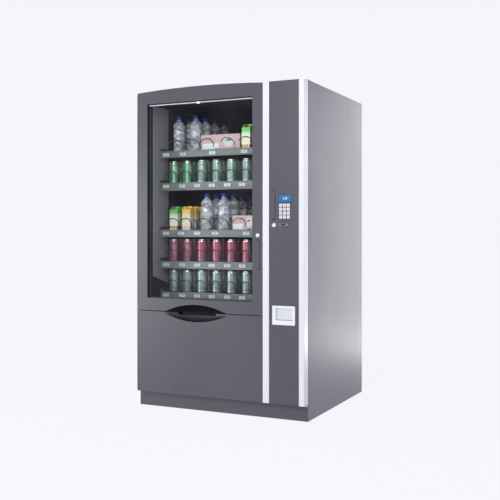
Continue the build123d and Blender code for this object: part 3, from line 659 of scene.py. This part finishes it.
def can_print(name, deep, bright, bare, fresh=None):
    """Metallic can print: a slanting paler flash and a pale foot band; fresh tints the left lanes."""
    can = Finish(name)
    around = can.node("ShaderNodeUVMap", {"uv_map": "wrap"})
    split = can.node("ShaderNodeSeparateXYZ", None, {0: around})
    up = Wire(can, split.socket.node.outputs[1])
    own = can.node("ShaderNodeAttribute", {"attribute_name": "shade"}, None, "Fac")
    wave = can.node("ShaderNodeMath", {"operation": "SINE"}, {0: (split * 2.0 + up * 0.55) * math.tau})
    flash = can.smooth(wave, 0.35, 0.75) * can.smooth(up, 0.18, 0.32) * (1.0 - can.smooth(up, 0.78, 0.88))
    speck = can.noise(160.0, 3.0)
    ground = can.blend(can.smooth(up, 0.1, 0.9), deep, bright)
    if fresh:
        aside = can.node("ShaderNodeSeparateXYZ", None, {0: can.place()})
        ground = can.blend((aside < FRESH_LANES) * 0.8, ground, fresh)
    tint = can.blend(flash * 0.55, ground, bare)
    foot = can.blend((up < 0.13) * 0.5, tint, bare)
    last = can.blend(own * 0.35, foot, tuple(0.6 * c for c in deep))
    return can.surface(base=last, metallic=0.5, roughness=0.24 + speck * 0.12,
                       normal=can.bump(speck, 0.04, 0.0003))


can_metal = metal("can_aluminium", (0.86, 0.87, 0.88), 0.22, 1.0, 0.12)
PRINTS = {1: can_print("can_green", (0.17, 0.25, 0.21), (0.29, 0.38, 0.33), (0.62, 0.68, 0.65),
                       (0.11, 0.36, 0.17)),
          3: can_print("can_red", (0.30, 0.085, 0.125), (0.40, 0.105, 0.150), (0.40, 0.30, 0.32)),
          4: can_print("can_grey_green", (0.19, 0.25, 0.23), (0.31, 0.38, 0.36), (0.62, 0.68, 0.66))}


def lane_spots(lanes, deck, pitch=CAN_PITCH, setback=0.5, lift=0.0045):
    """Standing places along lanes: one between each pair of turns, set back from the wire in front."""
    first = COIL_START + pitch * (TOP_CROSSING + setback)
    places = range(round(COIL_LENGTH / pitch))
    return [Vector((x, first + pitch * i, deck + lift)) for x in lanes for i in places]


ANY_WAY = (0.0, 0.0, 0.9)
all_cans = []
for row, print_material in PRINTS.items():
    spots = lane_spots(CAN_LANES, decks[row])
    all_cans += spots
    set_out(f"can_sleeves_{row + 1}", "cabinet", can_sleeve, spots, print_material, ANY_WAY, 10 + row)
set_out("can_ends_all", "cabinet", can_ends, all_cans, can_metal, ANY_WAY, 20)

# ---- water bottles ----
# Blown clear bottles, ribbed below, with a waist under the shoulder and a blue screw cap.
# They are a little wider than their spirals, so the wire runs through their sides.
BOTTLE_R = 0.0355
WRAP_R = BOTTLE_R - 0.0006
bottle_outline = [(0, 0.006), (0.018, 0.004), (0.029, 0.0), (0.034, 0.002), (BOTTLE_R, 0.012),
                  (BOTTLE_R, 0.024)]
for z in (0.033, 0.051, 0.069, 0.087):
    bottle_outline += [(BOTTLE_R, z - 0.006), (BOTTLE_R - 0.0030, z), (BOTTLE_R, z + 0.006)]
bottle_outline += [(WRAP_R, 0.098), (WRAP_R, 0.128), (BOTTLE_R - 0.0050, 0.138), (BOTTLE_R, 0.147),
                   (BOTTLE_R, 0.163), (0.0330, 0.172), (0.0240, 0.182), (0.0150, 0.189), (0.0132, 0.199)]
bottle_shape = turned("bottle_shape", bottle_outline, 28)
neck_ring = [(0, 0.197), (0.0165, 0.197), (0.0165, 0.200)]
screw_cap = [(0.0145, 0.201), (0.0145, 0.2165), (0.0135, 0.218), (0, 0.218)]
cap_shape = turned("cap_shape", neck_ring + screw_cap, 20)

pet = Finish("clear_bottle")
pet_wrap = pet.node("ShaderNodeUVMap", {"uv_map": "wrap"})
pet_up = pet.node("ShaderNodeSeparateXYZ", None, {0: pet_wrap}, 1)
swirl = pet.noise(30.0, 3.0, (1.0, 1.0, 1.6))
# Painted reflections: dark and bright swirls in the colour and opacity of the clear plastic stand in for
# what it reflects and refracts.
painted_reflections = pet.smooth(swirl, 0.38, 0.64)
label_zone = pet.smooth(pet_up, 0.47, 0.50) * (1.0 - pet.smooth(pet_up, 0.63, 0.66))
clear_bottle = pet.surface(base=pet.blend(painted_reflections, (0.44, 0.44, 0.50), (0.92, 0.92, 0.98)), roughness=0.07,
                           alpha=0.32 + painted_reflections * 0.34 + label_zone * 0.22, coat=0.6,
                           normal=pet.bump(swirl, 0.25, 0.003))
cap_blue = moulding("cap_blue", (0.060, 0.045, 0.46), 0.32, 0.1, 0.3)

SETBACK = 0.39
BOTTLE_TURN = (0.0, 0.0, 1.5)
bottle_spots = lane_spots((-0.381, -0.266), decks[0], BOTTLE_PITCH, SETBACK)
bottle_spots += lane_spots((-0.191, -0.077), decks[2], BOTTLE_PITCH, SETBACK)
set_out("water_bottles", "cabinet", bottle_shape, bottle_spots, clear_bottle, BOTTLE_TURN, 31)
set_out("bottle_caps", "cabinet", cap_shape, bottle_spots, cap_blue, BOTTLE_TURN, 31)

# ---- juice cartons ----
# Gable-top cartons of coated board: folded roof, sealed ridge and a screw cap on the slope.
# Green ones stand in two lanes and orange ones in one.
CARTON = Vector((0.054, 0.044, 0.124))
RIDGE = 0.144
ROOF_TOP = RIDGE - 0.008


def carton_mesh():
    """Square-sided pack with a roof sloping up from front and back to a thin ridge."""
    bm = bmesh.new()
    uv = bm.loops.layers.uv.new("wrap")
    w, d, h = CARTON.x / 2, CARTON.y / 2, CARTON.z
    t = 0.0012
    corners = {key: bm.verts.new(spot) for key, spot in {
        "a": (-w, -d, 0.0), "b": (w, -d, 0.0), "c": (w, d, 0.0), "e": (-w, d, 0.0),
        "A": (-w, -d, h), "B": (w, -d, h), "C": (w, d, h), "E": (-w, d, h),
        "p": (-w, -t, ROOF_TOP), "q": (w, -t, ROOF_TOP), "r": (w, t, ROOF_TOP), "s": (-w, t, ROOF_TOP),
        "P": (-w, -t, RIDGE), "Q": (w, -t, RIDGE), "R": (w, t, RIDGE), "S": (-w, t, RIDGE)}.items()}
    long_sides = ("aecb", "abBA", "ceEC", "ABqp", "CEsr", "pqQP", "rsSR", "PQRS")
    gable_sides = ("bcCB", "BCrq", "qrRQ", "eaAE", "EAps", "spPS")
    for loop_names in long_sides + gable_sides:
        face = bm.faces.new([corners[key] for key in loop_names])
        for loop in face.loops:
            loop[uv].uv = (loop.vert.co.x / CARTON.x + 0.5, loop.vert.co.z / RIDGE)
    mesh = bpy.data.meshes.new("carton_shape")
    bm.to_mesh(mesh)
    bm.free()
    return bpy.data.objects.new("carton_shape", mesh)


def printed_carton(name, head, body, foot, dots):
    """Carton print: coloured head, pale body warming to the foot, and a row of square dots."""
    carton = Finish(name)
    uv = carton.node("ShaderNodeUVMap", {"uv_map": "wrap"})
    split = carton.node("ShaderNodeSeparateXYZ", None, {0: uv})
    up = Wire(carton, split.socket.node.outputs[1])
    blotch = carton.noise(70.0, 3.0)
    top = carton.smooth(up + blotch * 0.10, 0.60, 0.80)
    ground = carton.blend(carton.smooth(up, 0.55, 0.15), body, foot)
    beads = carton.node("ShaderNodeMath", {"operation": "SINE"}, {0: split * 3.5 * math.tau})
    row = (up > 0.08) * (up < 0.18) * (beads > -0.2)
    tint = carton.blend(row, carton.blend(top, ground, head), dots)
    return carton.surface(base=tint, roughness=0.38 + blotch * 0.1,
                          normal=carton.bump(blotch, 0.08, 0.0005))


carton_shape = carton_mesh()
SLOPE = math.atan2(CARTON.y / 2, ROOF_TOP - CARTON.z)
CAP_R = 0.0105
cap_outline = [(0, -0.002), (CAP_R, -0.002), (CAP_R, 0.010), (CAP_R - 0.001, 0.0115), (0, 0.0115)]
carton_cap = turned("carton_cap", cap_outline, 16)
on_roof = Matrix.Translation((-0.006, -CARTON.y / 4, CARTON.z + 0.006))
carton_cap.data.transform(on_roof @ Matrix.Rotation(SLOPE * 0.5, 4, "X"))
GREEN_PRINT = printed_carton("carton_green", (0.16, 0.60, 0.12), (0.93, 0.92, 0.84),
                             (0.93, 0.86, 0.55), (0.42, 0.06, 0.06))
ORANGE_PRINT = printed_carton("carton_orange", (0.98, 0.58, 0.11), (0.95, 0.88, 0.66),
                              (0.95, 0.80, 0.71), (0.80, 0.58, 0.48))
cap_red = moulding("cap_red", (0.45, 0.03, 0.03), 0.35, 0.1, 0.3)
cap_amber = moulding("cap_amber", (0.80, 0.46, 0.04), 0.35, 0.1, 0.3)
ASKEW = (0.0, 0.0, 0.04)
green_spots = lane_spots((-0.394,), decks[2]) + lane_spots((0.088,), decks[0])
orange_spots = lane_spots((-0.308,), decks[2])
set_out("green_cartons", "cabinet", carton_shape, green_spots, GREEN_PRINT, ASKEW, 41)
set_out("orange_cartons", "cabinet", carton_shape, orange_spots, ORANGE_PRINT, ASKEW, 42)
set_out("green_carton_caps", "cabinet", carton_cap, green_spots, cap_red, ASKEW, 41)
set_out("orange_carton_caps", "cabinet", carton_cap, orange_spots, cap_amber, ASKEW, 42)

# ---- boxed snacks ----
# Long cardboard boxes of pale pink board, one lane on the top tray and one on the middle
# tray, with a plain white panel and a grey blot for a picture.
BOX_DEPTH = 0.030


def snack_box(name, low_x, high_x, deck, height):
    """A lane of boxes from low_x to high_x, one behind the other, and their printed board."""
    bm = bmesh.new()
    for spot in lane_spots((0.0,), deck):
        front = spot.y - BOX_DEPTH / 2
        back = spot.y + BOX_DEPTH / 2
        add_block(bm, (low_x, front, deck + 0.003), (high_x, back, deck + height), 0.0012)
    width = high_x - low_x
    card = Finish(name + "_board")
    at = card.place()
    x = card.node("ShaderNodeSeparateXYZ", None, {0: at})
    z = Wire(card, x.socket.node.outputs[2])
    across = (x - low_x) * (1.0 / width)
    up = (z - deck) * (1.0 / height)
    fibre = card.noise(180.0, 4.0)
    panel = (across > 0.04) * (across < 0.46) * (up > 0.12) * (up < 0.48)
    spot_on_front = card.node("ShaderNodeCombineXYZ", None, {0: across * 2.2, 1: up, 2: 0.0})
    blot = card.node("ShaderNodeVectorMath", {"operation": "DISTANCE"},
                     {0: spot_on_front, 1: (1.58, 0.55, 0.0)}, "Value")
    disc = 1.0 - card.smooth(blot, 0.30, 0.34)
    shade = card.blend(disc, card.blend(panel, (0.62, 0.42, 0.42), (0.80, 0.80, 0.79)), (0.72, 0.66, 0.64))
    food = (1.0 - card.smooth(blot + fibre * 0.2, 0.24, 0.30)) * (up > 0.6)
    material = card.surface(base=card.blend(food, shade, (0.16, 0.15, 0.15)), roughness=0.45 + fibre * 0.1,
                            normal=card.bump(fibre, 0.08, 0.0004))
    return mesh_piece(name, "cabinet", bm, [material])


snack_box("long_boxes", -0.210, 0.045, decks[0], 0.098)
snack_box("short_boxes", -0.003, 0.142, decks[2], 0.091)

# ---- display and keypad ----
# A blue backlit display, nearly flush with the column, that shows a plain price, and
# figures moulded proud of each key.
SCREEN_INSET = 0.0032
display_low, display_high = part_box("display")
glow = Finish("display_glow")
screen_height = glow.node("ShaderNodeSeparateXYZ", None, {0: glow.place()}, 2)
cells = glow.noise(900.0, 1.0)
upper = glow.smooth(screen_height, display_low.z, display_high.z)
blue = glow.blend(upper, (0.004, 0.075, 0.21), (0.006, 0.11, 0.27))
blue_screen = glow.surface(base=blue, glow=blue, glow_power=0.3, roughness=0.25 + cells * 0.05)
screen = bmesh.new()
add_block(screen, (display_low.x + SCREEN_INSET, FRONT_Y - 0.0008, display_low.z + SCREEN_INSET),
          (display_high.x - SCREEN_INSET, FRONT_Y - 0.0002, display_high.z - SCREEN_INSET))
mesh_piece("display_screen", "payment_door", screen, [blue_screen])
figures = Finish("display_figures")
flicker = figures.noise(600.0, 1.0)
figure_blue = figures.blend(flicker, (0.30, 0.48, 0.66), (0.40, 0.58, 0.76))
figure_light = figures.surface(base=(0.8, 0.9, 1.0), glow=figure_blue, glow_power=0.4, roughness=0.4)
screen_middle = (display_low + display_high) / 2
price_place = Vector((screen_middle.x, FRONT_Y - 0.0010, screen_middle.z))
numerals("display_price", "payment_door", [("1.20", price_place)], 0.016, 0.0001, figure_light)

KEY_FIGURES = {"clear": "C", "enter": "E"}
for name in KEY_NAMES:
    low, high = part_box(f"key_{name}")
    centre = Vector(((low.x + high.x) / 2, low.y - 0.0001, (low.z + high.z) / 2))
    numerals(f"figure_{name}", f"key_{name}", [(KEY_FIGURES.get(name, name), centre)], 0.011, 0.0002, ink)

# ---- screws ----
# Low pan-head screws with a round socket, spaced evenly along the four edges of the
# rear sheet.
HEAD_R = 0.0045
head_outline = [(HEAD_R, 0.0), (HEAD_R, 0.0006), (0.0036, 0.0013), (0.0016, 0.0016), (0.0014, 0.0008),
                (0, 0.0008)]
head = turned("screw_head", head_outline, 12)
head.data.transform(Matrix.Rotation(-math.pi / 2, 4, "X"))
low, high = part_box("back_panel")
EDGE = 0.016
COLUMNS = 5
ROWS = 7
screw_spots = []
for i in range(COLUMNS):
    x = low.x + EDGE + i * (high.x - low.x - 2 * EDGE) / (COLUMNS - 1)
    screw_spots += [Vector((x, high.y, z)) for z in (low.z + EDGE, high.z - EDGE)]
for i in range(1, ROWS - 1):
    z = low.z + EDGE + i * (high.z - low.z - 2 * EDGE) / (ROWS - 1)
    screw_spots += [Vector((x, high.y, z)) for x in (low.x + EDGE, high.x - EDGE)]
set_out("panel_screws", "cabinet", head, screw_spots, zinc, (0.0, 1.5, 0.0), 51)

# ---- studio floor ----
# A wide plain floor that glows in the tone of the lower sky, so that no line shows where
# the two meet. Its own surface is nearly black.
FLOOR_HALF = 60.0
ground = bmesh.new()
bmesh.ops.create_grid(ground, x_segments=1, y_segments=1, size=FLOOR_HALF)
floor = Finish("studio_floor")
dapple = floor.noise(0.8, 2.0)
floor_tone = floor.blend(dapple, (0.050, 0.050, 0.052), (0.055, 0.055, 0.057))
floor_material = floor.surface(base=floor_tone, roughness=0.9, specular=0.0, glow=PALE_SKY,
                               glow_power=0.965)
mesh_piece("floor", None, ground, [floor_material], ride=False)
